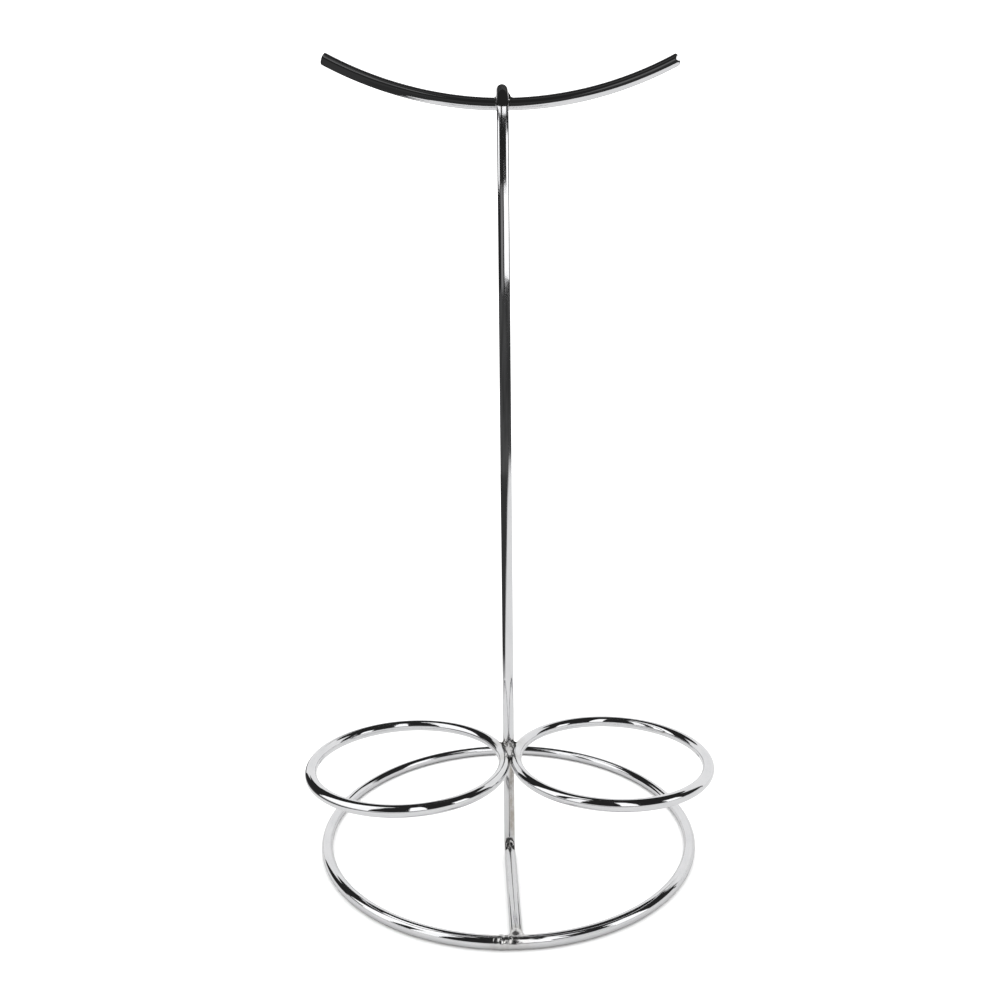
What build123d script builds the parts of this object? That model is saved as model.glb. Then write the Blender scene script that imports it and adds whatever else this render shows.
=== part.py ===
from build123d import *
import os
from math import cos, radians, sin, sqrt

os.makedirs("parts", exist_ok=True)

# A free-standing chrome-plated wire stand: a base ring, a post bent forward into a foot and
# back into a hook, two cup rings side by side against the post, and a curved hanging bar
# under the hook. Millimetres; +Z is up, the front is -Y, and the origin is the centre of
# the base ring on the table.

# --- Driving dimensions ---
wire = 4.8                 # one gauge of round wire throughout

base_radius = 81.5         # centre line of the base ring
post_forward = 17.5        # how far the post stands in front of the base ring's centre
cup_radius = 39.5          # centre line of each cup ring
cup_height = 48.5          # centre line of the cup rings above the table

foot_bend = 6.0            # centre-line radius of the bend between foot and post
foot_sink = 1.2            # how far the foot's end is sunk into the base ring's inner side
hook_bend = 9.6            # centre-line radius of the bend at the top of the post
hook_tail = 4.0            # straight end of the hook behind its bend

bar_height = 315.5         # lowest point of the hanging bar's centre line
bar_radius = 155.0         # the bar is an arc, highest at its ends
bar_half_angle = 27.3
bar_seat_angle = 78.0      # where the bar touches the hook, measured round the bend

weld_gap = 0.1             # space between two wires that weld metal fills
end_round = 0.5            # rounding of a cut wire end

closure_angle = -94.0      # the base ring's butt weld, just left of the foot
closure_bead = 2.65        # radii of the weld beads' outer surfaces
foot_bead = 3.1
cup_bead = 2.1
touch_bead = 2.3
bar_bead = 3.0
bar_bead_shift = 0.6       # the bar's bead sits a little to the right of the post
ground_off = 0.3           # the beads at the base are ground away below this height
seam_turn = 215.0          # where a ring's long seam lies, measured round its wire

# --- Derived places ---
wire_radius = wire / 2
post_y = -post_forward
cup_centre_x = cup_radius + wire_radius + weld_gap / 2
post_to_cup = cup_radius + wire + weld_gap
cup_centre_y = post_y - sqrt(post_to_cup**2 - cup_centre_x**2)

seat_reach = hook_bend - wire - weld_gap
hook_centre_z = bar_height - seat_reach * sin(radians(bar_seat_angle))
hook_height = hook_centre_z + hook_bend
bar_y = post_y + hook_bend - seat_reach * cos(radians(bar_seat_angle))
foot_front = -(base_radius - wire_radius + foot_sink)


def ring_of_wire(centre, radius, seam_side):
    """Return the builder of a level ring of wire, whose surface seams are kept off its joints.

    One seam circles the ring low on its inside, and the other goes round the wire at seam_side.
    """
    up = Vector(0, 0, 1)
    outward = Vector(*seam_side)
    with BuildPart() as ring:
        with BuildSketch(Plane(origin=centre, x_dir=outward, z_dir=outward.cross(up))):
            with Locations(Location((radius, 0), seam_turn)):
                Circle(wire_radius)
        revolve(axis=Axis(centre, up))
    return ring


# --- Base ring: the stand rests on its underside ---
base_ring = ring_of_wire((0, 0, wire_radius), base_radius, (0, 1, 0))

# --- Post wire: foot, post and hook are one bent wire ---
with BuildPart() as post_wire:
    with BuildLine(Plane.YZ) as post_path:
        FilletPolyline(
            (foot_front, wire_radius),
            (post_y, wire_radius),
            (post_y, hook_height),
            (post_y + hook_bend + hook_tail, hook_height),
            radius=(foot_bend, hook_bend),
        )
    with BuildSketch(Plane(origin=post_path.line @ 0, z_dir=post_path.line % 0)):
        Circle(wire_radius)
    sweep(path=post_path.line)
    fillet(post_wire.edges().sort_by(Axis.Y)[-1], radius=end_round)
    add(base_ring.part, mode=Mode.SUBTRACT)

# --- Cup rings: level, side by side, with the post in the notch behind them ---
left_cup_centre = (-cup_centre_x, cup_centre_y, cup_height)
right_cup_centre = (cup_centre_x, cup_centre_y, cup_height)
left_cup_ring = ring_of_wire(left_cup_centre, cup_radius, (-1, 0, 0))
right_cup_ring = ring_of_wire(right_cup_centre, cup_radius, (1, 0, 0))

# --- Hanging bar: an arc that curves up at both ends, tucked under the hook ---
with BuildPart() as hanging_bar:
    with BuildLine(Plane.XZ.offset(-bar_y)) as bar_path:
        CenterArc(
            center=(0, bar_height + bar_radius),
            radius=bar_radius,
            start_angle=-90 - bar_half_angle,
            arc_size=2 * bar_half_angle,
        )
    with BuildSketch(Plane(origin=bar_path.line @ 0, z_dir=bar_path.line % 0)):
        Circle(wire_radius)
    sweep(path=bar_path.line)
    fillet(hanging_bar.edges().sort_by(Axis.X)[0], radius=end_round)
    fillet(hanging_bar.edges().sort_by(Axis.X)[-1], radius=end_round)


# --- Welds: each is the bead that shows round its joint, fitted to the wires it joins ---
def weld_at(centre, through, radius, *wires):
    """Return the builder of a ball of weld metal, less the wires that run through it.

    The ball's poles lie along the direction through, where the wires take them away.
    """
    with BuildPart() as bead:
        with Locations(Plane(origin=centre, z_dir=through)):
            Sphere(radius)
        for joined_wire in wires:
            add(joined_wire.part, mode=Mode.SUBTRACT)
        split(bisect_by=Plane.XY.offset(ground_off), keep=Keep.TOP)
    return bead


closure_turn = radians(closure_angle)
closure_centre = (base_radius * cos(closure_turn), base_radius * sin(closure_turn), wire_radius)
closure_run = (-sin(closure_turn), cos(closure_turn), 0)
base_ring_weld = weld_at(closure_centre, closure_run, closure_bead, base_ring)

foot_joint = (0, -(base_radius - wire_radius), wire_radius)
foot_weld = weld_at(foot_joint, (0, 1, 0), foot_bead, base_ring, post_wire)

touch_point = (0, cup_centre_y, cup_height)
cup_rings_weld = weld_at(touch_point, (1, 0, 0), touch_bead, left_cup_ring, right_cup_ring)

# The post touches each cup ring on the line between the post and that ring's centre.
to_cup_x = cup_centre_x / post_to_cup
to_cup_y = (cup_centre_y - post_y) / post_to_cup
touch_reach = wire_radius + weld_gap / 2
touch_y = post_y + to_cup_y * touch_reach
left_touch = (-to_cup_x * touch_reach, touch_y, cup_height)
right_touch = (to_cup_x * touch_reach, touch_y, cup_height)
to_left_cup = (-to_cup_x, to_cup_y, 0)
to_right_cup = (to_cup_x, to_cup_y, 0)
left_cup_weld = weld_at(left_touch, to_left_cup, cup_bead, left_cup_ring, post_wire)
right_cup_weld = weld_at(right_touch, to_right_cup, cup_bead, right_cup_ring, post_wire)

seat_turn = radians(bar_seat_angle)
seat_touch = hook_bend - wire_radius - weld_gap / 2
bar_joint = (
    bar_bead_shift,
    post_y + hook_bend - seat_touch * cos(seat_turn),
    hook_centre_z + seat_touch * sin(seat_turn),
)
to_hook = (0, -cos(seat_turn), sin(seat_turn))
hanging_bar_weld = weld_at(bar_joint, to_hook, bar_bead, hanging_bar, post_wire)

# --- One STEP file for each piece ---
pieces = {
    "base_ring": base_ring,
    "post_wire": post_wire,
    "left_cup_ring": left_cup_ring,
    "right_cup_ring": right_cup_ring,
    "hanging_bar": hanging_bar,
    "base_ring_weld": base_ring_weld,
    "foot_weld": foot_weld,
    "cup_rings_weld": cup_rings_weld,
    "left_cup_weld": left_cup_weld,
    "right_cup_weld": right_cup_weld,
    "hanging_bar_weld": hanging_bar_weld,
}
for piece_name, piece in pieces.items():
    piece.part.label = piece_name
    export_step(piece.part, f"parts/{piece_name}.step")
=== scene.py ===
import math

import bpy
import numpy as np
from mathutils import Matrix, Vector


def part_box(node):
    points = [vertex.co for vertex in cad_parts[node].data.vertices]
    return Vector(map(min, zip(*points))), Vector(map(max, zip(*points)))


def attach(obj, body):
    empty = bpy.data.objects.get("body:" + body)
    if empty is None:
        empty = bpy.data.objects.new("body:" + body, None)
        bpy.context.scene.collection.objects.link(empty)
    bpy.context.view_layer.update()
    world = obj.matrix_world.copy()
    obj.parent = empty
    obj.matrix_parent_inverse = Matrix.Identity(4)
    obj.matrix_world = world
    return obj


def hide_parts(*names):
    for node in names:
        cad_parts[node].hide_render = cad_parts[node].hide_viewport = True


# A free-standing chrome wire stand: round base ring, one bent wire for foot, post and hook,
# two cup rings and a curved hanging bar, all joined by small weld beads. Metres, +Z up,
# the front is -Y, and the origin is on the table under the middle of the base ring.

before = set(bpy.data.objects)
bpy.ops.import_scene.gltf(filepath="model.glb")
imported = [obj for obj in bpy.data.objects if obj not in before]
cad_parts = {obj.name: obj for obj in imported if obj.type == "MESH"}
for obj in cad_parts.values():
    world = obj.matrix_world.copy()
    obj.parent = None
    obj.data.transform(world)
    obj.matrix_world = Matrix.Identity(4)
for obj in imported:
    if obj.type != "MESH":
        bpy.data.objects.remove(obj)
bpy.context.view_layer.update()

MM = 0.001
X, Y, Z = np.eye(3)

# --- Sizes read from the frame ---
base_low, base_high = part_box("base_ring")
left_low, left_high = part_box("left_cup_ring")
right_low, right_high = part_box("right_cup_ring")
post_low, post_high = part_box("post_wire")
bar_low, bar_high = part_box("hanging_bar")

CAD_WIRE_RADIUS = (base_high.z - base_low.z) / 2
BASE_CENTRE = np.array((base_low + base_high) / 2)
BASE_RADIUS = (base_high.x - base_low.x) / 2 - CAD_WIRE_RADIUS
LEFT_CENTRE = np.array((left_low + left_high) / 2)
RIGHT_CENTRE = np.array((right_low + right_high) / 2)
CUP_RADIUS = (left_high.x - left_low.x) / 2 - CAD_WIRE_RADIUS
HOOK_HEIGHT = post_high.z - CAD_WIRE_RADIUS
BAR_BACK = (bar_low.y + bar_high.y) / 2
BAR_BOTTOM = bar_low.z + CAD_WIRE_RADIUS

# --- Bends and joints, as the CAD part makes them ---
POST_Y = -17.5 * MM  # the post stands in front of the base ring's centre
FOOT_BEND = 6.0 * MM
FOOT_SINK = 1.2 * MM  # how far the foot's end is sunk into the base ring
HOOK_BEND = 9.6 * MM
BAR_RADIUS = 155.0 * MM
BAR_HALF_ANGLE = math.radians(27.29)
BAR_BEAD_SHIFT = 0.6 * MM  # the bar's bead sits this far right of the post,
BAR_BEAD_FORWARD = 0.54 * MM  # and this far in front of the bar's middle
CLOSURE_ANGLE = math.radians(-94.0)  # where the base ring's ends are welded together

# --- Surface of the wires ---
AROUND = 44  # points round a wire
STEP = 0.8 * MM  # from one ring of points to the next along a wire
BAR_STEP = 0.5 * MM  # the same along the bar
FINE_STEP = 0.35 * MM  # the same along the post's bends and tail
UNEVEN = 0.012 * MM  # how far a bent wire's surface swells and dents
WIRE_RADIUS = CAD_WIRE_RADIUS - UNEVEN - 0.004 * MM  # so the swells stay within the CAD wire
END_ROUND = 0.5 * MM
WAVES, WAVE_SHARE = 14, 6  # how many waves add up to an uneven surface, and the divisor of their sum
SHORTEST_SWELL = 16 * MM
GRINDING = 0.09 * MM  # how deep the base ring is ground near its welds, on average
HAZE = 7 * MM  # how far from a weld the plate is dull

# --- Weld beads ---
BEAD_ROWS, BEAD_COLUMNS = 44, 72  # points of a bead, from pole to pole and round it
RAY_STEP = 0.04 * MM  # how closely a bead's skin is looked for
BEAD_EDGE = 0.03 * MM  # how far under a wire's surface a bead's skin ends
RIPPLE = 0.05  # how far a bead's skin ripples, as a share of its size
GROUND_FLAT = 0.05 * MM  # height above the table of the flat undersides of the beads at the base
FAR = 1.0  # metres, further off than any wire


# --- Curves: rows of points, each leaving out its last point ---
def straight(start, end, step):
    start, end = np.asarray(start, float), np.asarray(end, float)
    count = max(2, round(np.linalg.norm(end - start) / step))
    return start + (end - start) * np.linspace(0, 1, count, endpoint=False)[:, None]


def arc(centre, radius, start, end, across, up, step):
    count = max(2, round(abs(end - start) * radius / step))
    angle = np.linspace(start, end, count, endpoint=False)[:, None]
    return centre + radius * (np.cos(angle) * across + np.sin(angle) * up)


# --- Relief: how far each point of a wire's surface stands above a true cylinder ---
def swells(along, turn, length, seed):
    """Slow swells and dents, between -1 and 1. They close up on a ring of this length."""
    random = np.random.default_rng(seed)
    most_cycles = max(4, int(length / SHORTEST_SWELL))
    total = np.zeros((len(along), len(turn)))
    for _ in range(WAVES):
        cycles = random.integers(2, most_cycles)
        lobes = random.integers(0, 3)
        shift_along, shift_around = random.uniform(0, 2 * math.pi, 2)
        wave_along = np.sin(2 * math.pi * cycles * along / length + shift_along)
        total += wave_along[:, None] * np.cos(lobes * turn + shift_around)[None, :]
    return np.clip(total / WAVE_SHARE, -1, 1)


def lumps(along, around, seed):
    """Small lumps 2 to 4.5 mm long, between -1 and 1, as grinding by hand leaves them."""
    random = np.random.default_rng(seed)
    total = np.zeros_like(along)
    for _ in range(WAVES):
        pitch = random.uniform(2.0, 4.5) * MM
        heading = random.uniform(0, math.pi)
        shift = random.uniform(0, 2 * math.pi)
        path = along * math.cos(heading) + around * math.sin(heading)
        total += np.sin(2 * math.pi * path / pitch + shift)
    return np.clip(total / WAVE_SHARE, -1, 1)


def window(value, centre, reach, soft):
    """1 within reach of centre, falling to 0 over soft beyond it."""
    beyond = (np.abs(value - centre) - reach) / soft
    return 0.5 + 0.5 * np.cos(math.pi * np.clip(beyond, 0, 1))


# --- Meshes ---
def mesh_object(name, vertices, faces):
    mesh = bpy.data.meshes.new(name)
    mesh.from_pydata(vertices.tolist(), [], faces)
    mesh.validate()
    mesh.polygons.foreach_set("use_smooth", [True] * len(mesh.polygons))
    mesh.update()
    piece = bpy.data.objects.new(name, mesh)
    bpy.context.scene.collection.objects.link(piece)
    return piece


def store(piece, name, vectors):
    """Keep a vector for each vertex, for the material to read."""
    layer = piece.data.attributes.new(name, "FLOAT_VECTOR", "POINT")
    layer.data.foreach_set("vector", np.asarray(vectors, dtype=np.float32).ravel())


def wire_piece(name, centres, side, relief, closed, wear_and_shade):
    """Sweep a wire's section along centres.

    side is a unit vector across the path at each centre, where the turn round the section
    starts. relief(along, turn, length) is added to the wire's radius. The last argument
    says how dull and brown each point of the surface is, from 0 to 1: haze at welds, and
    painted shade and painted reflection on the post and the base ring.
    """
    if closed:
        heading = np.roll(centres, -1, axis=0) - np.roll(centres, 1, axis=0)
    else:
        heading = np.gradient(centres, axis=0)
    heading /= np.linalg.norm(heading, axis=1)[:, None]
    other = np.cross(heading, side)
    gaps = np.linalg.norm(np.diff(centres, axis=0), axis=1)
    along = np.concatenate([[0], np.cumsum(gaps)])
    length = along[-1] + (gaps[-1] if closed else 0)
    turn = np.linspace(0, 2 * math.pi, AROUND, endpoint=False)
    reach = WIRE_RADIUS + relief(along, turn, length)
    points = (
        centres[:, None, :]
        + (reach * np.cos(turn))[:, :, None] * side[:, None, :]
        + (reach * np.sin(turn))[:, :, None] * other[:, None, :]
    )
    count = len(centres)
    faces = []
    for i in range(count if closed else count - 1):
        row, following = i * AROUND, ((i + 1) % count) * AROUND
        for j in range(AROUND):
            k = (j + 1) % AROUND
            faces.append((row + j, following + j, following + k, row + k))
    if not closed:
        last = (count - 1) * AROUND
        faces.append(tuple(range(AROUND)))
        faces.append(tuple(last + j for j in reversed(range(AROUND))))
    points = points.reshape(-1, 3)
    piece = mesh_object(name, points, faces)
    # each point's place along the wire and round it, so that drawing lines follow the wire
    unrolled = np.stack(
        np.broadcast_arrays(
            along[:, None],
            WIRE_RADIUS * np.cos(turn)[None, :],
            WIRE_RADIUS * np.sin(turn)[None, :],
        ),
        axis=-1,
    )
    store(piece, "unrolled", unrolled.reshape(-1, 3))
    # how dull and brown each point is: haze at welds, plus painted shade and painted reflection on the
    # post and base ring
    store(piece, "wear_and_shade", np.stack([wear_and_shade(points)] * 3, axis=-1))
    return piece


def near(places, reach):
    """A dull share that is 1 at each place and fades to 0 at reach from it, for haze at welds and for
    painted shade.
    """
    def wear_and_shade(points):
        total = np.zeros(len(points))
        for place in places:
            distance = np.linalg.norm(points - np.asarray(place), axis=1)
            total = np.maximum(total, np.clip(1 - distance / reach, 0, 1) ** 1.5)
        return total
    return wear_and_shade


def end_rounding(along, length, at_start, at_end):
    """How far a cut end's rounding sinks below the wire's side."""
    sink = np.zeros(len(along))
    for wanted, distance in ((at_start, along), (at_end, length - along)):
        if wanted:
            inside = np.clip(END_ROUND - distance, 0, END_ROUND)
            sink += END_ROUND - np.sqrt(END_ROUND**2 - inside**2)
    return sink


def add_end_rings(centres, at_start, at_end):
    """Put eight close rings at each cut end that is wanted, where its rounding needs them."""
    steps = END_ROUND * (1 - np.cos(np.linspace(0, math.pi / 2, 8)))
    cleared = 1.3 * END_ROUND
    for wanted, tip, further_in in ((at_start, 0, 4), (at_end, -1, -5)):
        if wanted:
            end = centres[tip]
            inward = centres[further_in] - end
            inward /= np.linalg.norm(inward)
            rings = end + steps[:, None] * inward
            rest = centres[np.linalg.norm(centres - end, axis=1) > cleared]
            parts = [rings, rest] if tip == 0 else [rest, rings[::-1]]
            centres = np.concatenate(parts)
    return centres


def file_flat(piece, place, normal, reach):
    """File a flat on a wire's end: what stands beyond the plane goes, within reach of place."""
    normal = np.asarray(normal) / np.linalg.norm(normal)
    for vertex in piece.data.vertices:
        point = np.array(vertex.co)
        beyond = (point - place) @ normal
        if beyond > 0 and np.linalg.norm(point - place) < reach:
            vertex.co = point - beyond * normal
    piece.data.update()


# --- Places along the bent wire; foot_bend and hook_bend are the middles of its bends ---
foot_end = np.array((0, post_low.y, CAD_WIRE_RADIUS))
foot_bend = np.array((0, POST_Y - FOOT_BEND, CAD_WIRE_RADIUS + FOOT_BEND))
foot_back = foot_bend - FOOT_BEND * Z
elbow = foot_bend + FOOT_BEND * (Y - Z) / math.sqrt(2)
post_bottom = foot_bend + FOOT_BEND * Y
hook_bend = np.array((0, POST_Y + HOOK_BEND, HOOK_HEIGHT - HOOK_BEND))
post_top = hook_bend - HOOK_BEND * Y
hook_crown = hook_bend + HOOK_BEND * Z
tail_end = np.array((0, post_high.y, HOOK_HEIGHT))

# --- Joints ---
closure = BASE_CENTRE + BASE_RADIUS * (math.cos(CLOSURE_ANGLE) * X + math.sin(CLOSURE_ANGLE) * Y)
foot_joint = foot_end + FOOT_SINK * Y
rings_joint = np.array((0, LEFT_CENTRE[1], LEFT_CENTRE[2]))
to_post = np.array((-LEFT_CENTRE[0], POST_Y - LEFT_CENTRE[1], 0))
to_post /= np.linalg.norm(to_post)
left_joint = LEFT_CENTRE + (CUP_RADIUS + CAD_WIRE_RADIUS) * to_post
right_joint = left_joint * np.array((-1, 1, 1))
bar_joint = np.array((BAR_BEAD_SHIFT, BAR_BACK - BAR_BEAD_FORWARD, (BAR_BOTTOM + HOOK_HEIGHT) / 2))


# --- The wires ---
def ring(name, centre, radius, start, relief, wear_and_shade):
    """A level ring of wire, whose points start at the angle start and go round anticlockwise."""
    count = round(2 * math.pi * radius / STEP)
    angle = start + 2 * math.pi * np.arange(count) / count
    outward = np.stack([np.cos(angle), np.sin(angle), np.zeros(count)], axis=1)
    return wire_piece(name, centre + radius * outward, outward, relief, closed=True, wear_and_shade=wear_and_shade)


# the base ring's points start at the back and go round by way of the left
base_start = math.pi / 2
along_closure = ((CLOSURE_ANGLE - base_start) % (2 * math.pi)) * BASE_RADIUS


def base_relief(along, turn, length):
    """Swells, and the lumpy patch where the ring's closure and the foot's weld were ground."""
    total = UNEVEN * swells(along, turn, length, seed=11)
    patch = window(along, along_closure + 6 * MM, reach=7 * MM, soft=4 * MM)
    facing = np.clip(np.cos(turn - math.radians(-45)), 0, 1)
    grid_along, grid_turn = np.meshgrid(along, turn, indexing="ij")
    rough = lumps(grid_along, WIRE_RADIUS * grid_turn, seed=21)
    total += patch[:, None] * facing[None, :] * (GRINDING * rough - GRINDING)
    return total


def base_haze_and_shade(points):
    """Painted shade along the underside of the base ring, where it stands on the table, and haze at its
    welds.
    """
    shaded_height = 0.9 * MM
    # painted shade: the lowest 0.9 mm of the ring is drawn darker, browner and duller
    under = np.clip(1 - points[:, 2] / shaded_height, 0, 1)
    return np.maximum(0.9 * under, near([closure, foot_joint], reach=9 * MM)(points))


base_ring = ring("base_ring_bent", BASE_CENTRE, BASE_RADIUS, base_start, base_relief, base_haze_and_shade)


def plain_relief(seed):
    """Swells and nothing else."""
    def relief(along, turn, length):
        return UNEVEN * swells(along, turn, length, seed)
    return relief


# the cup rings' points start this angle away from where the two rings touch
cup_start = 0.1
cup_wear = near([rings_joint, left_joint, right_joint], HAZE)
left_cup_ring = ring(
    "left_cup_ring_bent", LEFT_CENTRE, CUP_RADIUS, cup_start, plain_relief(seed=12), cup_wear
)
right_cup_ring = ring(
    "right_cup_ring_bent", RIGHT_CENTRE, CUP_RADIUS, math.pi - cup_start, plain_relief(seed=13), cup_wear
)


def post_path():
    """The middle of the bent wire, from the foot's front end to the hook's tail."""
    quarter = math.pi / 2
    return np.concatenate([
        straight(foot_end, foot_back, STEP),
        arc(foot_bend, FOOT_BEND, -quarter, 0, Y, Z, FINE_STEP),
        straight(post_bottom, post_top, STEP),
        arc(hook_bend, HOOK_BEND, math.pi, quarter, Y, Z, FINE_STEP),
        straight(hook_crown, tail_end, FINE_STEP),
        tail_end[None, :],
    ])


def post_relief(along, turn, length):
    """Swells, a squeezed and wrinkled foot bend, a flattened hook bend and a rounded tail."""
    squeeze, crease_depth, crease_pitch = 0.14 * MM, 0.06 * MM, 5.0 * MM
    flattening = 0.10 * MM
    total = UNEVEN * swells(along, turn, length, seed=14)
    foot_turn = FOOT_BEND * math.pi / 2
    hook_turn = HOOK_BEND * math.pi / 2
    foot_middle = foot_bend[1] - foot_end[1] + foot_turn / 2
    hook_middle = length - (tail_end[1] - hook_bend[1]) - hook_turn / 2
    pressed_side = np.clip(np.cos(turn - 1.5 * math.pi), 0, 1)[None, :] ** 2
    at_foot = window(along, foot_middle, 0.3 * foot_turn, 0.6 * foot_turn)[:, None]
    creases = np.cos(2 * math.pi * (along - foot_middle) / crease_pitch)[:, None]
    total -= at_foot * pressed_side * (squeeze + crease_depth * creases)
    at_hook = window(along, hook_middle, 0.3 * hook_turn, 0.5 * hook_turn)[:, None]
    total -= at_hook * pressed_side * flattening
    total -= end_rounding(along, length, at_start=False, at_end=True)[:, None]
    return total


post_centres = add_end_rings(post_path(), at_start=False, at_end=True)
joint_wear = near([foot_joint, rings_joint, left_joint, right_joint, bar_joint], HAZE)


def post_haze_and_shade(points):
    """Haze at the welds, painted shade at the elbow's bend, and a painted reflection that makes the
    right side low on the post dull and brownish.
    """
    # painted reflection: the right side of the post, low down, is drawn browner and duller
    low = window(points[:, 2], 26 * MM, reach=12 * MM, soft=12 * MM) * (points[:, 1] > foot_bend[1])
    right_side = np.clip((points[:, 0] + 0.5 * MM) / (1.1 * MM), 0.08, 1)
    # painted shade: the elbow's bend is drawn browner and duller
    bend = near([elbow], reach=8 * MM)(points)
    return np.maximum(np.maximum(joint_wear(points), 0.95 * low * right_side), 0.9 * bend)


post_side = np.tile(X, (len(post_centres), 1))
post_wire = wire_piece(
    "post_wire_bent", post_centres, post_side, post_relief, closed=False, wear_and_shade=post_haze_and_shade
)

bar_middle = np.array((0, BAR_BACK, BAR_BOTTOM + BAR_RADIUS))
bar_angles = -math.pi / 2 - BAR_HALF_ANGLE, -math.pi / 2 + BAR_HALF_ANGLE
bar_tips = [
    bar_middle + BAR_RADIUS * (math.cos(angle) * X + math.sin(angle) * Z) for angle in bar_angles
]


def bar_relief(along, turn, length):
    """Swells, and two rounded ends."""
    total = UNEVEN * swells(along, turn, length, seed=15)
    return total - end_rounding(along, length, at_start=True, at_end=True)[:, None]


def bar_piece():
    """The hanging bar, an arc that is highest at its ends, each with a flat left by the cutter."""
    run = arc(bar_middle, BAR_RADIUS, *bar_angles, X, Z, BAR_STEP)
    run = np.concatenate([run, bar_tips[1][None, :]])
    centres = add_end_rings(run, at_start=True, at_end=True)
    side = np.tile(Y, (len(centres), 1))
    wear_and_shade = near([bar_joint], reach=6 * MM)
    piece = wire_piece("hanging_bar_curved", centres, side, bar_relief, closed=False, wear_and_shade=wear_and_shade)
    left_flat = bar_tips[0] + 1.75 * MM * np.array((-0.2, -0.8, 0.55))
    file_flat(piece, left_flat, normal=(-0.60, -0.75, 0.28), reach=4 * MM)
    right_flat = bar_tips[1] + 1.85 * MM * np.array((0, -1.0, 0.1))
    file_flat(piece, right_flat, normal=(0.36, -0.93, 0.02), reach=4 * MM)
    return piece


hanging_bar = bar_piece()


# --- Weld beads ---
def ring_distance(points, centre, radius):
    """How far points are from a level ring of wire."""
    offset = points - centre
    across = np.hypot(offset[:, 0], offset[:, 1]) - radius
    return np.hypot(across, offset[:, 2]) - WIRE_RADIUS


def rod_distance(points, start, end):
    """How far points are from a straight wire."""
    start, end = np.asarray(start, float), np.asarray(end, float)
    run = end - start
    share = np.clip(((points - start) @ run) / (run @ run), 0, 1)
    return np.linalg.norm(points - start - share[:, None] * run, axis=1) - WIRE_RADIUS


def bar_distance(points):
    """How far points are from the hanging bar."""
    offset = points - bar_middle
    across = np.hypot(offset[:, 0], offset[:, 2]) - BAR_RADIUS
    return np.hypot(across, offset[:, 1]) - WIRE_RADIUS


def blend(one, other, reach):
    """The lower of two distances, with a fillet of this reach where they meet."""
    share = np.clip(0.5 + 0.5 * (other - one) / reach, 0, 1)
    return other * (1 - share) + one * share - reach * share * (1 - share)


def globe_rays():
    """Directions spread over a globe: its top, the rows between, and its bottom."""
    lift = np.linspace(0, math.pi, BEAD_ROWS)[1:-1]
    spin = np.linspace(0, 2 * math.pi, BEAD_COLUMNS, endpoint=False)
    lift, spin = np.meshgrid(lift, spin, indexing="ij")
    between = [np.sin(lift) * np.cos(spin), np.sin(lift) * np.sin(spin), np.cos(lift)]
    return np.concatenate([[Z], np.stack(between, axis=-1).reshape(-1, 3), [-Z]])


def globe_faces():
    """The faces between the points on those rays."""
    last = 1 + (BEAD_ROWS - 2) * BEAD_COLUMNS
    bottom = last - BEAD_COLUMNS
    faces = []
    for j in range(BEAD_COLUMNS):
        k = (j + 1) % BEAD_COLUMNS
        faces.append((0, 1 + j, 1 + k))
        faces.append((last, bottom + k, bottom + j))
        for row in range(1, bottom, BEAD_COLUMNS):
            following = row + BEAD_COLUMNS
            faces.append((row + j, following + j, following + k, row + k))
    return faces


def pool_ripples(rays, seed):
    """Ripples on a bead's skin: small waves every way, and rings round one side of it."""
    random = np.random.default_rng(seed)
    waves = 10
    ripple = np.zeros(len(rays))
    for _ in range(waves):
        heading = random.normal(size=3)
        heading *= random.uniform(3, 9) / np.linalg.norm(heading)
        ripple += np.sin(rays @ heading + random.uniform(0, 2 * math.pi))
    pool = random.normal(size=3)
    pool /= np.linalg.norm(pool)
    return ripple / waves + 0.35 * np.sin(16 * np.sqrt(1.05 + rays @ pool))


def weld_piece(name, centre, radii, wires, seed, fillet, lowest=None):
    """A bead of weld metal, filleted into the wires it joins and rippled by the weld pool.

    wires(points) is how far points are from the wires. The bead's skin is looked for along
    rays from its centre, and a ray that runs on inside a wire ends there.
    """
    rays = globe_rays()
    bead_size = 1 / np.linalg.norm(rays / radii, axis=1)
    bead_size *= 1 + RIPPLE * pool_ripples(rays, seed)
    nearest, furthest = 0.2 * radii.min(), 1.45 * radii.max()
    reach = np.full(len(rays), nearest)
    found = np.zeros(len(rays), bool)
    while (reach[~found] < furthest).any():
        points = centre + rays * reach[:, None]
        skin = blend(reach - bead_size, wires(points) + BEAD_EDGE, fillet)
        found |= skin >= 0
        reach = np.where(found, reach, reach + RAY_STEP)
    points = centre + rays * reach[:, None]
    if lowest is not None:
        points[:, 2] = np.maximum(points[:, 2], lowest)
    return mesh_object(name, points, globe_faces())


# How far points are from the wires that meet at each joint
def base_wires(points):
    return ring_distance(points, BASE_CENTRE, BASE_RADIUS)


def foot_wires(points):
    return np.minimum(base_wires(points), rod_distance(points, foot_end, foot_back))


def cup_wires(points):
    post = rod_distance(points, post_bottom, post_top)
    left = ring_distance(points, LEFT_CENTRE, CUP_RADIUS)
    right = ring_distance(points, RIGHT_CENTRE, CUP_RADIUS)
    return np.minimum(post, np.minimum(left, right))


def hook_wires(points):
    offset = points - hook_bend
    across = np.hypot(offset[:, 1], offset[:, 2]) - HOOK_BEND
    bend = np.hypot(across, offset[:, 0]) - WIRE_RADIUS
    tail = rod_distance(points, hook_crown, tail_end)
    within_bend = (offset[:, 1] < 0) & (offset[:, 2] > 0)
    return np.minimum(bar_distance(points), np.minimum(np.where(within_bend, bend, FAR), tail))


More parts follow.
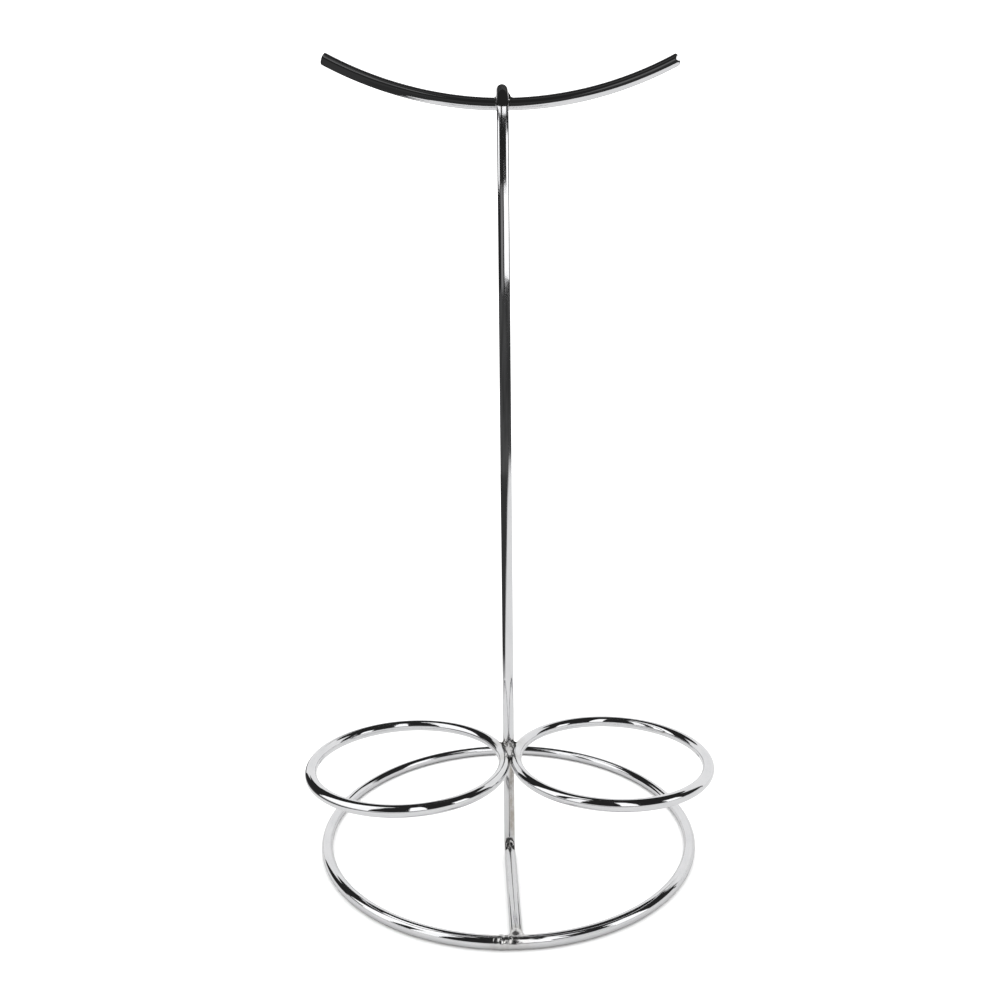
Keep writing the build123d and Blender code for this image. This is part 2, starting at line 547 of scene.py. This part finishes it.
# each bead's centre, its radii and its fillet in millimetres, the wires it joins, and how
# high the grinder has left its underside
BEADS = {
    "base_ring_weld": (closure, (1.9, 2.55, 2.5), 0.5, base_wires, GROUND_FLAT),
    "foot_weld": (foot_joint, (3.0, 2.4, 2.6), 0.9, foot_wires, GROUND_FLAT),
    "cup_rings_weld": (rings_joint, (2.0, 2.9, 2.0), 0.9, cup_wires, None),
    "left_cup_weld": (left_joint, (1.9, 1.9, 2.3), 0.8, cup_wires, None),
    "right_cup_weld": (right_joint, (1.9, 1.9, 2.2), 0.8, cup_wires, None),
    "hanging_bar_weld": (bar_joint, (2.9, 2.2, 2.4), 0.9, hook_wires, None),
}
welds = {}
for seed, (node, (centre, radii, fillet, joined_wires, lowest)) in enumerate(BEADS.items(), start=31):
    radii = np.array(radii) * MM
    bead = weld_piece(f"{node}_bead", centre, radii, joined_wires, seed, fillet * MM, lowest)
    welds[node] = bead


# --- Materials ---
# the brown plate is haze at welds, and also painted shade and painted reflection on the post and base
# ring
BRIGHT_PLATE, GREY_PLATE, BROWN_PLATE = (0.80, 0.80, 0.81), (0.74, 0.745, 0.76), (0.46, 0.42, 0.37)
PALE_BEAD, GREY_BEAD = (0.76, 0.755, 0.75), (0.62, 0.61, 0.60)
LINE_DEPTH, PORE_DEPTH = 0.0022 * MM, 0.0016 * MM
PIT_DEPTH, GRAIN_DEPTH = 0.018 * MM, 0.02 * MM


class Shading:
    """A material whose nodes are added one after another."""

    def __init__(self, name):
        self.material = bpy.data.materials.new(name)
        self.material.use_nodes = True
        self.tree = self.material.node_tree
        self.shader = self.tree.nodes["Principled BSDF"]
        self.shader.inputs["Metallic"].default_value = 1.0

    def node(self, kind, settings=None, **values):
        node = self.tree.nodes.new(kind)
        for key, value in (settings or {}).items():
            setattr(node, key, value)
        for key, value in values.items():
            self.feed(node.inputs[key], value)
        return node

    def feed(self, socket, value):
        if isinstance(value, bpy.types.NodeSocket):
            self.tree.links.new(value, socket)
        else:
            socket.default_value = value

    def vector(self, name, scale):
        """A stored vector, stretched by scale, which is in features to the metre each way."""
        stored = self.node("ShaderNodeAttribute", {"attribute_name": name})
        mapping = self.node("ShaderNodeMapping", Vector=stored.outputs["Vector"])
        mapping.inputs["Scale"].default_value = scale
        return mapping.outputs[0]

    def place(self, scale):
        """The place on the piece, stretched by scale, which is in features to the metre."""
        where = self.node("ShaderNodeTexCoord").outputs["Object"]
        mapping = self.node("ShaderNodeMapping", Vector=where)
        mapping.inputs["Scale"].default_value = (scale, scale, scale)
        return mapping.outputs[0]

    def noise(self, vector, detail=3.0, roughness=0.5):
        settings = {"Scale": 1.0, "Detail": detail, "Roughness": roughness}
        node = self.node("ShaderNodeTexNoise", Vector=vector, **settings)
        return node.outputs["Fac"]

    def remap(self, value, low, high, to_low, to_high):
        """The value, with its range from low to high stretched to run from to_low to to_high."""
        node = self.node("ShaderNodeMapRange", Value=value)
        for socket, number in zip(node.inputs[1:5], (low, high, to_low, to_high)):
            self.feed(socket, number)
        return node.outputs[0]

    def math(self, operation, one, other):
        node = self.node("ShaderNodeMath", {"operation": operation})
        self.feed(node.inputs[0], one)
        self.feed(node.inputs[1], other)
        return node.outputs[0]

    def colour(self, share, one, other):
        """The first colour, turning into the other as share goes from 0 to 1."""
        node = self.node("ShaderNodeMix", {"data_type": "RGBA"})
        self.feed(node.inputs[0], share)
        for socket, tone in ((node.inputs[6], one), (node.inputs[7], other)):
            self.feed(socket, tone if isinstance(tone, bpy.types.NodeSocket) else (*tone, 1))
        return node.outputs[2]

    def bump(self, height, distance, normal=None):
        """Relief as deep as distance, on top of the relief that normal holds."""
        node = self.node("ShaderNodeBump", Height=height, Distance=distance, Strength=1.0)
        if normal is not None:
            self.feed(node.inputs["Normal"], normal)
        return node.outputs[0]


def wire_chrome():
    """Chrome plate over drawn wire: faint lines along it, pores, smudges, and duller brown patches that
    are haze at welds and also painted shade and painted reflection.
    """
    plate = Shading("wire_chrome")
    lines = plate.noise(plate.vector("unrolled", (60, 4200, 4200)), 2.0)
    pores = plate.noise(plate.place(2600), 2.0)
    smudges = plate.noise(plate.vector("unrolled", (90, 260, 260)), 4.0, 0.6)
    wear_and_shade = plate.vector("wear_and_shade", (1, 1, 1))
    worn_and_shaded = plate.node("ShaderNodeSeparateXYZ", Vector=wear_and_shade).outputs[0]

    roughness = plate.remap(smudges, 0.42, 0.75, 0.035, 0.10)
    streaks = plate.remap(lines, 0.58, 0.80, 0.0, 0.05)
    roughness = plate.math("ADD", roughness, streaks)
    roughness = plate.math("ADD", roughness, plate.math("MULTIPLY", worn_and_shaded, 0.16))
    plate.feed(plate.shader.inputs["Roughness"], roughness)

    tone = plate.colour(plate.remap(smudges, 0.35, 0.75, 0, 1), BRIGHT_PLATE, GREY_PLATE)
    blotches = plate.noise(plate.place(330), 3.0, 0.6)
    # browner where the stored share is high: haze at the welds, and painted shade and painted reflection
    # low on the post and under the base ring
    dull = plate.math("MULTIPLY", plate.remap(blotches, 0.30, 0.62, 0.25, 1.0), worn_and_shaded)
    tone = plate.colour(dull, tone, BROWN_PLATE)
    plate.feed(plate.shader.inputs["Base Color"], tone)

    relief = plate.bump(lines, LINE_DEPTH)
    relief = plate.bump(pores, PORE_DEPTH, relief)
    plate.feed(plate.shader.inputs["Normal"], relief)
    return plate.material


def weld_chrome():
    """The same plate over a weld bead: duller, grainy and pitted."""
    bead = Shading("weld_chrome")
    grain = bead.noise(bead.place(1900), 3.0, 0.6)
    pits = bead.node("ShaderNodeTexVoronoi", Vector=bead.place(1300), Scale=1.0).outputs["Distance"]
    patches = bead.noise(bead.place(420), 2.0)
    bead.feed(bead.shader.inputs["Roughness"], bead.remap(patches, 0.3, 0.7, 0.10, 0.26))
    tone = bead.colour(bead.remap(patches, 0.3, 0.7, 0, 1), PALE_BEAD, GREY_BEAD)
    bead.feed(bead.shader.inputs["Base Color"], tone)
    relief = bead.bump(bead.remap(pits, 0.0, 0.35, 0, 1), PIT_DEPTH)
    relief = bead.bump(grain, GRAIN_DEPTH, relief)
    bead.feed(bead.shader.inputs["Normal"], relief)
    return bead.material


chrome, rough_chrome = wire_chrome(), weld_chrome()
wires = {
    "base_ring": base_ring,
    "left_cup_ring": left_cup_ring,
    "right_cup_ring": right_cup_ring,
    "post_wire": post_wire,
    "hanging_bar": hanging_bar,
}
for group, material, slot in ((wires, chrome, "wire_chrome"), (welds, rough_chrome, "weld_chrome")):
    for node, piece in group.items():
        piece.data.materials.append(material)
        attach(piece, "root")
        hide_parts(node)


# --- Studio ---
DAYLIGHT = 1.74  # brightness of the light on the floor
PALE, MIRRORED = 0.92, 0.50  # the floor as it is seen, and as the chrome mirrors it
ROOM = 0.02  # glow of the room that the chrome mirrors between the cards
DIM, DIMMEST = 0.04, 0.03  # glow of the floor further off, as the chrome mirrors it
FLOOR_EDGE, MIRRORED_EDGE = 6.0, 9.0  # how far the floors and the furthest floor card reach
FADE_START, FADE_END = 0.85, 1.3  # the pale floor turns dark between these shares of its reach
PANEL_DISTANCE = 1.6  # from the stand to the nearest panel
PANEL_BASE = 0.1  # height of the point that the panels stand round
PANEL_ROWS, PANEL_COLUMNS = 9, 13  # points of a panel
PATCH_SEED = 8  # for the panels with a patchy glow


def floor_piece(name, tone, seen):
    """A plain floor, either the one the camera sees or the duller one the chrome mirrors."""
    corners = FLOOR_EDGE * np.array([(-1, -1, 0), (1, -1, 0), (1, 1, 0), (-1, 1, 0)], float)
    height = 0 if seen else 0.1 * MM
    piece = mesh_object(name, corners + height * Z, [(0, 1, 2, 3)])
    material = bpy.data.materials.new(name)
    material.use_nodes = True
    shader = material.node_tree.nodes["Principled BSDF"]
    shader.inputs["Base Color"].default_value = (tone, tone, tone, 1)
    shader.inputs["Roughness"].default_value = 1.0
    shader.inputs["Specular IOR Level"].default_value = 0.0
    piece.data.materials.append(material)
    piece.visible_camera = piece.visible_diffuse = piece.visible_shadow = seen
    piece.visible_glossy = not seen


def studio_card(name, points, faces, glow, seen_by, solid=False):
    """A card that only the chrome mirrors, glowing by this much at each point.

    Where it is seen by some pieces only, the rest see through it, unless it is solid, which
    looks black to them.
    """
    piece = mesh_object(name, points, faces)
    layer = piece.data.attributes.new("glow", "FLOAT", "POINT")
    layer.data.foreach_set("value", np.broadcast_to(glow, len(points)).astype(np.float32))
    material = bpy.data.materials.new(name)
    material.use_nodes = True
    nodes, links = material.node_tree.nodes, material.node_tree.links
    nodes.clear()
    stored = nodes.new("ShaderNodeAttribute")
    stored.attribute_name = "glow"
    light = nodes.new("ShaderNodeEmission")
    links.new(stored.outputs["Fac"], light.inputs["Strength"])
    output = nodes.new("ShaderNodeOutputMaterial")
    if solid:
        links.new(light.outputs[0], output.inputs["Surface"])
    else:
        clear = nodes.new("ShaderNodeBsdfTransparent")
        both = nodes.new("ShaderNodeAddShader")
        links.new(light.outputs[0], both.inputs[0])
        links.new(clear.outputs[0], both.inputs[1])
        links.new(both.outputs[0], output.inputs["Surface"])
    piece.data.materials.append(material)
    piece.visible_camera = False
    piece.visible_diffuse = False
    piece.visible_shadow = False
    if seen_by:
        receivers = bpy.data.collections.new(name + "_seen_by")
        for other in seen_by:
            receivers.objects.link(other)
        piece.light_linking.receiver_collection = receivers


def grid_faces(rows, columns):
    """The faces between points that lie in rows and columns."""
    return [
        (i * columns + j, i * columns + j + 1, (i + 1) * columns + j + 1, (i + 1) * columns + j)
        for i in range(rows - 1)
        for j in range(columns - 1)
    ]


def studio_panel(name, azimuths, heights, glow, seen_by, distance):
    """A card round the stand. Azimuth is 0 towards -Y and rises towards +X, in degrees.

    A glow of two numbers is patchy between them.
    """
    azimuth = np.radians(np.linspace(*azimuths, PANEL_COLUMNS))
    height = np.radians(np.linspace(*heights, PANEL_ROWS))
    height, azimuth = np.meshgrid(height, azimuth, indexing="ij")
    level = np.cos(height)
    directions = [level * np.sin(azimuth), -level * np.cos(azimuth), np.sin(height)]
    points = distance * np.stack(directions, axis=-1).reshape(-1, 3) + PANEL_BASE * Z
    random = np.random.default_rng(PATCH_SEED)
    patchy = random.uniform(np.min(glow), np.max(glow), len(points))
    studio_card(name, points, grid_faces(PANEL_ROWS, PANEL_COLUMNS), patchy, seen_by)


def floor_card(name, azimuth, edges, glows, height, seen_by=None, solid=True):
    """A card lying this high over the floor round the stand.

    Each of its edges is a row of distances from the stand, one for each azimuth, and glows
    gives its glow along each edge.
    """
    angle = np.radians(azimuth)
    direction = np.stack([np.sin(angle), -np.cos(angle), np.zeros(len(angle))], axis=-1)
    points = np.concatenate([direction * edge[:, None] + height * Z for edge in edges])
    glow = np.repeat(glows, len(azimuth))
    studio_card(name, points, grid_faces(len(edges), len(azimuth)), glow, seen_by, solid)


# the pieces that mirror each card
BASE, LEFT, RIGHT, POST, BAR = base_ring, left_cup_ring, right_cup_ring, post_wire, hanging_bar
LOW_BEADS = [welds["base_ring_weld"], welds["foot_weld"]]
CUPS = [LEFT, RIGHT, *LOW_BEADS]
RINGS = [BASE, LEFT, RIGHT, *welds.values()]

# how far the pale floor reaches from the stand: an azimuth in degrees, and metres
PALE_FLOOR = [
    (-180, 1.2), (-150, 0.8), (-138, 0.21), (-60, 0.22), (-35, 0.40), (0, 0.68),
    (12, 1.0), (41, 1.5), (60, 2.0), (144, 2.0), (180, 1.2),
]
# the same for the hanging bar alone, in front of it and to its sides
PALE_FLOOR_OF_BAR = [
    (-160, 0.50), (-152, 0.36), (-143, 0.34), (-138, 0.178), (-107, 0.178), (-60, 0.145),
    (-34, 0.185), (15, 0.185), (22, 0.27), (30, 0.36), (45, 0.38), (55, 0.45), (70, 0.51),
    (90, 0.56), (105, 0.56),
]


def reach_between(stops, azimuth):
    """How far the pale floor reaches at each azimuth, in even slopes between the stops."""
    stop_azimuths, stop_reaches = zip(*stops)
    return np.interp(azimuth, stop_azimuths, stop_reaches)


def floor_cards():
    """The floor as the chrome mirrors it: pale round the stand, and dark further off.

    The hanging bar, high above it, mirrors a smaller pale patch than the other pieces.
    """
    pale = MIRRORED * DAYLIGHT
    around = np.linspace(-180, 180, 145)  # every 2.5 degrees
    reach = reach_between(PALE_FLOOR, around)
    edges = [FADE_START * reach, FADE_END * reach, np.full(len(around), MIRRORED_EDGE)]
    floor_card("floor_card_far", around, edges, (pale, DIM, DIMMEST), height=0.2 * MM)

    front = np.linspace(-160, 105, 266)  # every degree
    reach = reach_between(PALE_FLOOR, front)
    bar_reach = np.minimum(reach_between(PALE_FLOOR_OF_BAR, front), FADE_START * reach)
    edges = [bar_reach, FADE_START * reach, FADE_END * reach]
    seen_by = [*RINGS, POST]
    floor_card("floor_card_front", front, edges, (pale, pale, DIM), height=0.3 * MM, seen_by=seen_by)
    dark = (DIMMEST, DIMMEST, DIMMEST)
    floor_card("floor_card_bar", front, edges, dark, height=0.4 * MM, seen_by=[BAR], solid=False)


floor_piece("floor", PALE, seen=True)
floor_piece("floor_mirrored", MIRRORED, seen=False)
floor_cards()

# each panel's azimuths and heights in degrees, its glow, and the pieces that mirror it;
# each stands a little further off than the one before it
PANELS = [
    # bright cards to the left and in front of the rings
    ((-96, -86), (6, 80), 1.3, CUPS),
    ((-86, -66), (6, 80), 1.3, RINGS),
    ((-66, -54), (6, 72), 1.3, [LEFT, *LOW_BEADS]),
    ((-54, -38), (6, 60), 1.2, RINGS),
    ((3, 21), (12, 68), 1.3, RINGS),
    ((51, 68), (8, 32), 1.3, CUPS),
    # more of them for the base ring alone
    ((-142, -104), (52, 68), 1.3, [BASE]),
    ((-98, -86), (14, 56), 1.3, [BASE]),
    ((-66, -54), (40, 66), 1.3, [BASE]),
    ((21, 33), (30, 66), 1.3, [BASE]),
    ((33, 58), (56, 78), 1.1, [BASE]),
    ((21, 55), (6, 20), 0.7, [BASE]),
    ((55, 77), (6, 30), 1.3, [BASE]),
    ((60, 80), (30, 45), 1.3, [BASE]),
    # a pale wall behind the rings, and a low one in front of them
    ((100, 111), (-3, 46), 0.9, CUPS),
    ((100, 180), (-3, 12), 0.8, [BASE]),
    ((106, 180), (12, 24), 0.9, [BASE]),
    ((111, 180), (24, 34), 0.9, [BASE]),
    ((122, 152), (34, 40), 0.8, [BASE]),
    ((111, 180), (-3, 46), 0.9, CUPS),
    ((-180, -150), (-3, 33), 0.9, RINGS),
    ((-150, -128), (-3, 33), 0.9, [BASE, RIGHT, *LOW_BEADS]),
    ((-150, -138), (-3, 23), 0.9, [LEFT]),
    ((-98, 98), (-3, 6), 0.75, RINGS),
    # the post's wall, its bright cards, and dim patches that keep it from looking flat black
    ((-180, -146), (-3, 36), 0.8, [POST]),
    ((146, 180), (-3, 36), 0.8, [POST]),
    ((60, 112), (13, 24), 1.3, [POST]),
    ((5, 60), (13, 20), 1.3, [POST]),
    ((-112, -76), (20, 25), 1.3, [POST]),
    ((-122, -38), (26, 28.3), 1.3, [POST]),
    ((-12, 68), (26, 28.3), 1.3, [POST]),
    ((-60, -15), (12, 20), 0.2, [POST]),
    ((-150, 150), (-3, 12), (0.01, 0.06), [POST]),
    # the bar's dim patches, and the cards that light its right end and its back
    ((-15, -2), (27, 56), (0.02, 0.24), [BAR]),
    ((11, 30), (6, 28), (0.03, 0.17), [BAR]),
    ((-40, 40), (57, 72), (0.01, 0.05), [BAR]),
    ((42, 75), (20, 42), 1.3, [BAR]),
    ((110, 250), (50, 62), (0.3, 0.9), [BAR]),
    # a dim patch high behind the post
    ((110, 250), (50, 84), (0.0, 0.07), [POST]),
]
for number, (azimuths, heights, glow, seen_by) in enumerate(PANELS):
    distance = PANEL_DISTANCE + number * MM
    studio_panel(f"panel_{number:02d}", azimuths, heights, glow, seen_by, distance)


def studio_light():
    """Even soft light for the floor, and a dark room for the chrome to mirror between cards."""
    world = bpy.data.worlds.new("studio")
    bpy.context.scene.world = world
    world.use_nodes = True
    nodes, links = world.node_tree.nodes, world.node_tree.links
    nodes.clear()
    path = nodes.new("ShaderNodeLightPath")
    output = nodes.new("ShaderNodeOutputWorld")
    ambient = nodes.new("ShaderNodeBackground")
    backdrop = nodes.new("ShaderNodeBackground")
    room = nodes.new("ShaderNodeBackground")
    for light, strength in ((ambient, DAYLIGHT), (backdrop, PALE * DAYLIGHT), (room, ROOM)):
        light.inputs["Color"].default_value = (1, 1, 1, 1)
        light.inputs["Strength"].default_value = strength
    seen = nodes.new("ShaderNodeMixShader")
    links.new(path.outputs["Is Camera Ray"], seen.inputs[0])
    links.new(ambient.outputs[0], seen.inputs[1])
    links.new(backdrop.outputs[0], seen.inputs[2])
    mirrored = nodes.new("ShaderNodeMixShader")
    links.new(path.outputs["Is Glossy Ray"], mirrored.inputs[0])
    links.new(seen.outputs[0], mirrored.inputs[1])
    links.new(room.outputs[0], mirrored.inputs[2])
    links.new(mirrored.outputs[0], output.inputs["Surface"])
    bpy.context.scene.view_settings.view_transform = "Standard"


studio_light()


# --- Camera ---
EYE = (-12.37, -355.40, 198.33)  # millimetres; close in front of the stand, above its middle
YAW, LOOK_DOWN, ROLL = -0.0288, 0.1248, -0.0104  # radians
LENS, SENSOR_WIDTH = 29.45, 36.0  # millimetres


def add_camera():
    """The viewpoint, from which the camera looks slightly down."""
    data = bpy.data.cameras.new("camera")
    data.lens = LENS
    data.sensor_width = SENSOR_WIDTH
    camera = bpy.data.objects.new("camera", data)
    bpy.context.scene.collection.objects.link(camera)
    place = Matrix.Translation(Vector(EYE) * MM)
    yaw = Matrix.Rotation(YAW, 4, "Z")
    pitch = Matrix.Rotation(math.pi / 2 - LOOK_DOWN, 4, "X")
    roll = Matrix.Rotation(ROLL, 4, "Z")
    camera.matrix_world = place @ yaw @ pitch @ roll
    bpy.context.scene.camera = camera


add_camera()
